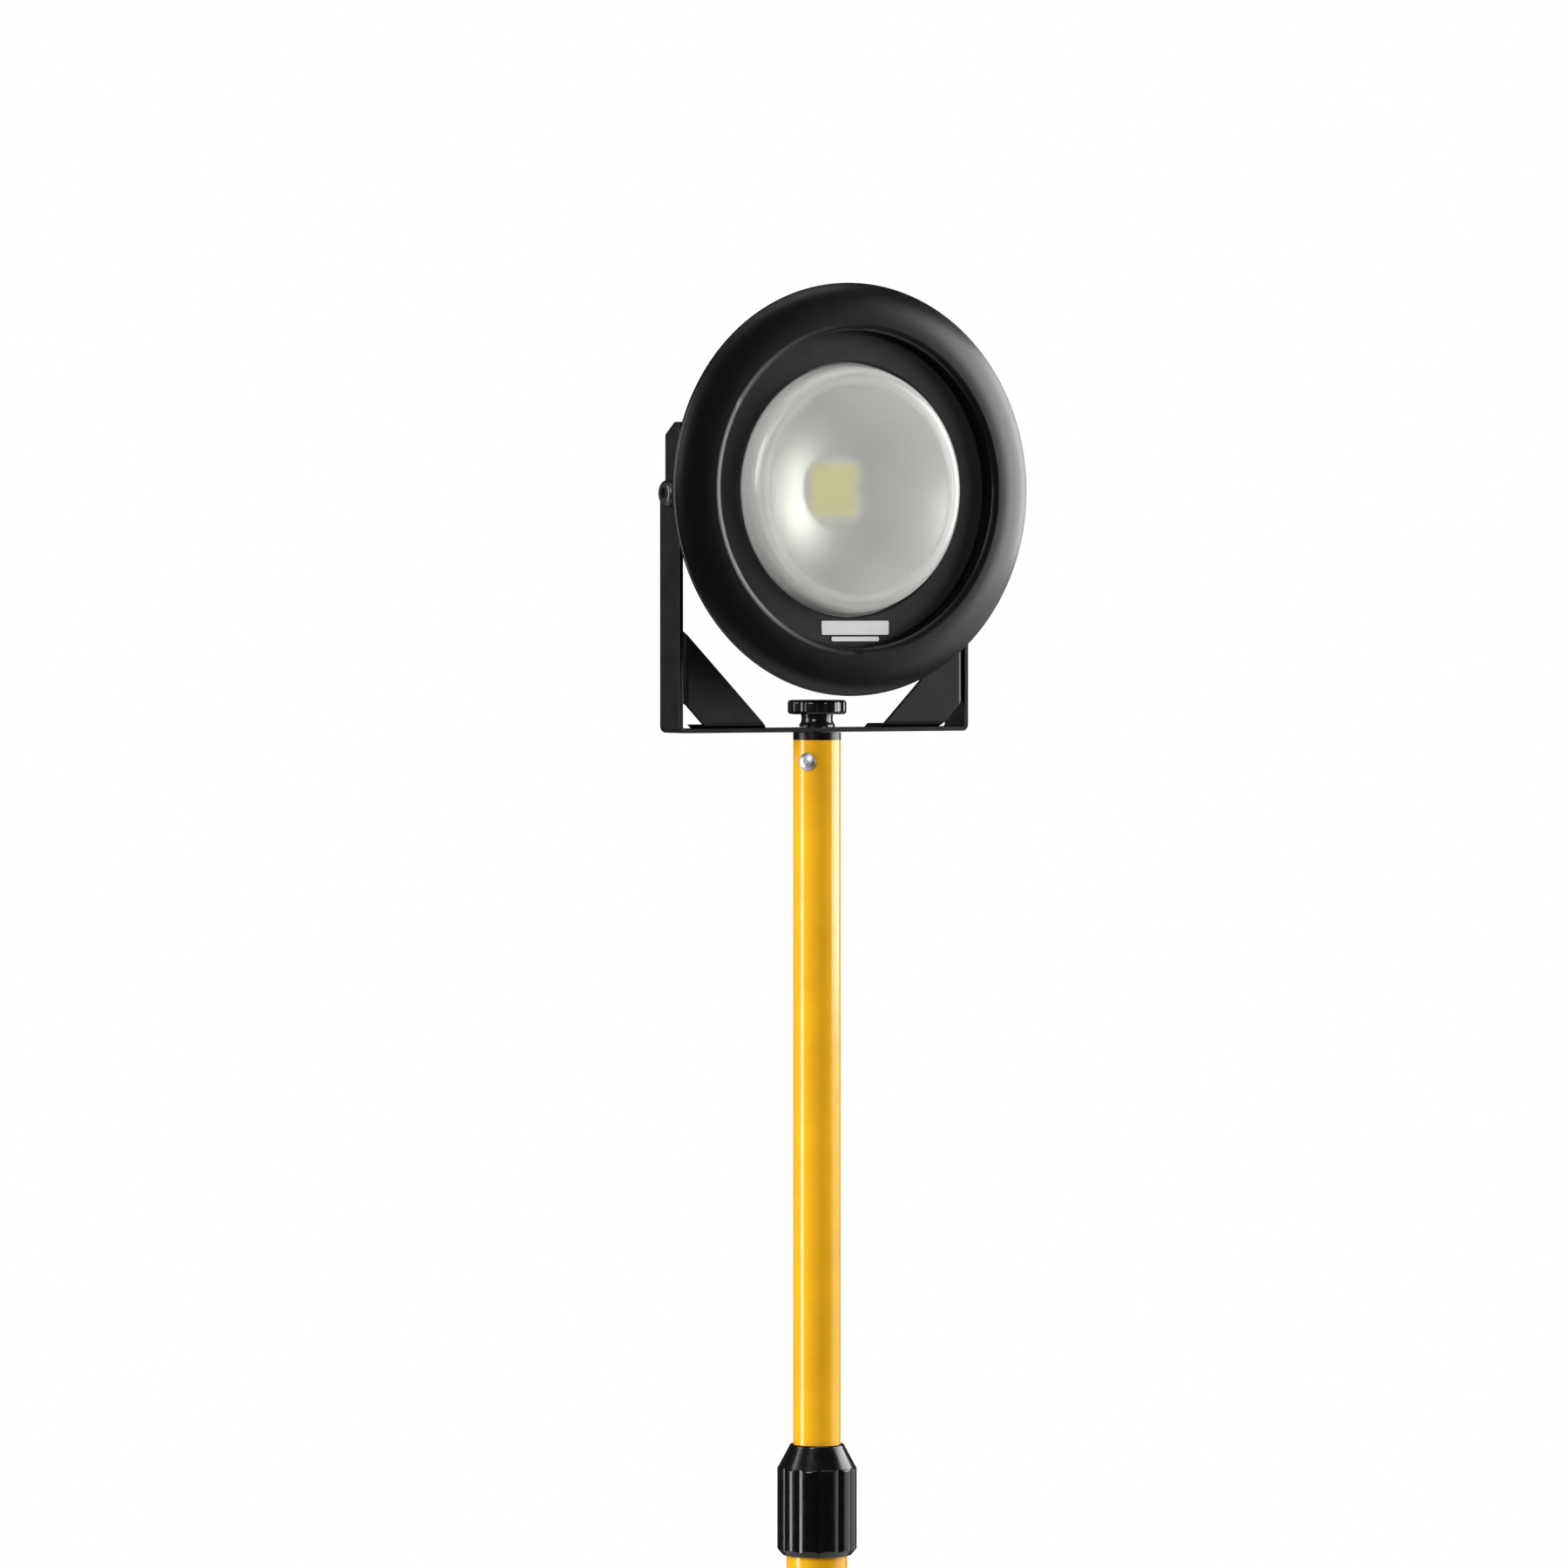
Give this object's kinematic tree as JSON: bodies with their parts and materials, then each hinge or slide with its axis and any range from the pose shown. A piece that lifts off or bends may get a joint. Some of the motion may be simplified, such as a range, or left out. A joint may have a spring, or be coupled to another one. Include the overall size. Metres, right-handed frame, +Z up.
{
  "type": "tripod work light",
  "caption": "Round LED floodlight with a frosted lens in a tilting, turning yoke, on a telescopic yellow mast with a twist lock and a folding tripod.",
  "frame": {"origin": "on the floor, on the mast's vertical axis", "axes": "+Z up along the mast, the lamp shines along -Y, +X to the right of a person who stands in front and faces the lens"},
  "size_m": [0.9216, 0.8041, 1.7351],
  "materials": {
    "bezel_coat": "satin black powder coat on an aluminium casting",
    "black_coat": "satin black powder coat",
    "trim_coat": "satin black paint",
    "housing_coat": "satin black paint on an aluminium casting",
    "badge_print": "printed white",
    "lens_glass": "frosted",
    "seal_rubber": "matt",
    "reflector_metal": "satin",
    "led_chip": "matt yellow phosphor",
    "board_metal": "white solder mask",
    "zinc_steel": "zinc plated",
    "pad_silicone": "grey silicone",
    "black_screws": "black oxide",
    "driver_case": "bare sheet",
    "gland_plastic": "black nylon",
    "washer_plastic": "black nylon",
    "knob_plastic": "glossy black",
    "plug_plastic": "black",
    "insert_brass": "plain",
    "yellow_paint": "glossy golden yellow powder coat",
    "bush_nylon": "black nylon",
    "collar_plastic": "glossy black",
    "joint_plastic": "black glass-filled nylon",
    "strut_paint": "black paint",
    "foot_rubber": "matt"
  },
  "bodies": {
    "lower_mast": {"lower_tube": "yellow_paint", "foot_plug": "plug_plastic", "strut_hub": "joint_plastic", "hub_rivets": "zinc_steel", "guide_bush": "bush_nylon", "lock_sleeve": "bush_nylon", "collet": "bush_nylon"},
    "upper_mast": {"upper_tube": "yellow_paint", "end_bush": "bush_nylon", "mast_plug": "plug_plastic", "stud_insert": "insert_brass", "tube_rivet": "zinc_steel"},
    "yoke": {"yoke_bracket": "black_coat", "gusset_left": "black_coat", "gusset_right": "black_coat"},
    "clamp_knob": {"hand_knob": "knob_plastic", "knob_stud": "zinc_steel"},
    "head": {"bezel_ring": "bezel_coat", "lens_ring": "trim_coat", "badge": "badge_print", "lens": "lens_glass", "lens_gasket": "seal_rubber", "reflector": "reflector_metal", "cob_led": "led_chip", "led_board": "board_metal", "board_screws": "zinc_steel", "thermal_pad": "pad_silicone", "housing": "housing_coat", "bezel_screws": "black_screws", "rear_cover": "housing_coat", "cover_screws": "black_screws", "led_driver": "driver_case", "gland_body": "gland_plastic", "gland_cap": "gland_plastic", "gland_seal": "seal_rubber", "pivot_bolts": "black_screws", "pivot_washers": "washer_plastic"},
    "twist_collar": {"lock_collar": "collar_plastic"},
    "leg_slider": {"leg_collar": "joint_plastic", "collar_rivets": "zinc_steel"},
    "slider_knob": {"tripod_knob": "knob_plastic", "tripod_knob_stud": "zinc_steel"},
    "strut_1": {"strut_1": "strut_paint"},
    "leg_1": {"leg_tube_1": "yellow_paint", "leg_knuckle_1": "joint_plastic", "leg_bracket_1": "joint_plastic", "leg_rivet_1": "zinc_steel", "leg_foot_1": "foot_rubber"},
    "strut_2": {"strut_2": "strut_paint"},
    "leg_2": {"leg_tube_2": "yellow_paint", "leg_knuckle_2": "joint_plastic", "leg_bracket_2": "joint_plastic", "leg_rivet_2": "zinc_steel", "leg_foot_2": "foot_rubber"},
    "strut_3": {"strut_3": "strut_paint"},
    "leg_3": {"leg_tube_3": "yellow_paint", "leg_knuckle_3": "joint_plastic", "leg_bracket_3": "joint_plastic", "leg_rivet_3": "zinc_steel", "leg_foot_3": "foot_rubber"}
  },
  "joints": [
    {"name": "mast_slide", "type": "slide", "parent": "lower_mast", "child": "upper_mast", "axis": [0, 0, 1], "range_m": [-0.35, 0.36]},
    {"name": "yoke_pan", "type": "hinge", "parent": "upper_mast", "child": "yoke", "pos_m": [0, 0, 1.5], "axis": [0, 0, 1], "range_deg": [-170, 170]},
    {"name": "knob_turn", "type": "hinge", "parent": "upper_mast", "child": "clamp_knob", "pos_m": [0, 0, 1.51], "axis": [0, 0, 1], "range_deg": [0, 360]},
    {"name": "head_tilt", "type": "hinge", "parent": "yoke", "child": "head", "pos_m": [0, 0, 1.6249], "axis": [1, 0, 0], "range_deg": [-90, 9]},
    {"name": "twist_lock", "type": "hinge", "parent": "lower_mast", "child": "twist_collar", "pos_m": [0, 0, 1.095], "axis": [0, 0, 1], "range_deg": [0, 120]},
    {"name": "strut_swing_1", "type": "hinge", "parent": "lower_mast", "child": "strut_1", "pos_m": [0, -0.033, 0.088], "axis": [-1, 0, 0], "range_deg": [0, 44]},
    {"name": "leg_swing_1", "type": "hinge", "parent": "strut_1", "child": "leg_1", "pos_m": [0, -0.21361, 0.27503], "axis": [1, 0, 0], "range_deg": [0, 88.01]},
    {"name": "strut_swing_2", "type": "hinge", "parent": "lower_mast", "child": "strut_2", "pos_m": [0.02858, 0.0165, 0.088], "axis": [0.5, -0.866, 0], "range_deg": [0, 44.01]},
    {"name": "leg_swing_2", "type": "hinge", "parent": "strut_2", "child": "leg_2", "pos_m": [0.18499, 0.10681, 0.27503], "axis": [-0.5, 0.866, 0], "range_deg": [0, 88.01]},
    {"name": "strut_swing_3", "type": "hinge", "parent": "lower_mast", "child": "strut_3", "pos_m": [-0.02858, 0.0165, 0.088], "axis": [0.5, 0.866, 0], "range_deg": [0, 44.01]},
    {"name": "leg_swing_3", "type": "hinge", "parent": "strut_3", "child": "leg_3", "pos_m": [-0.18499, 0.10681, 0.27503], "axis": [-0.5, -0.866, 0], "range_deg": [0, 88.01]},
    {"name": "leg_slide", "type": "slide", "parent": "lower_mast", "child": "leg_slider", "axis": [0, 0, 1], "range_m": [0, 0.147]},
    {"name": "slider_knob_turn", "type": "hinge", "parent": "leg_slider", "child": "slider_knob", "pos_m": [0, 0.037, 0.46206], "axis": [0, 1, 0], "range_deg": [0, 360]}
  ],
  "couplings": [
    {"joint": "leg_swing_1", "follows": "strut_swing_1", "ratio": 2},
    {"joint": "leg_swing_2", "follows": "strut_swing_1", "ratio": 2},
    {"joint": "strut_swing_2", "follows": "strut_swing_1", "ratio": 1},
    {"joint": "leg_swing_3", "follows": "strut_swing_1", "ratio": 2},
    {"joint": "strut_swing_3", "follows": "strut_swing_1", "ratio": 1},
    {"joint": "leg_slide", "follows": "strut_swing_1", "m_per_rad": 0.19004}
  ]
}
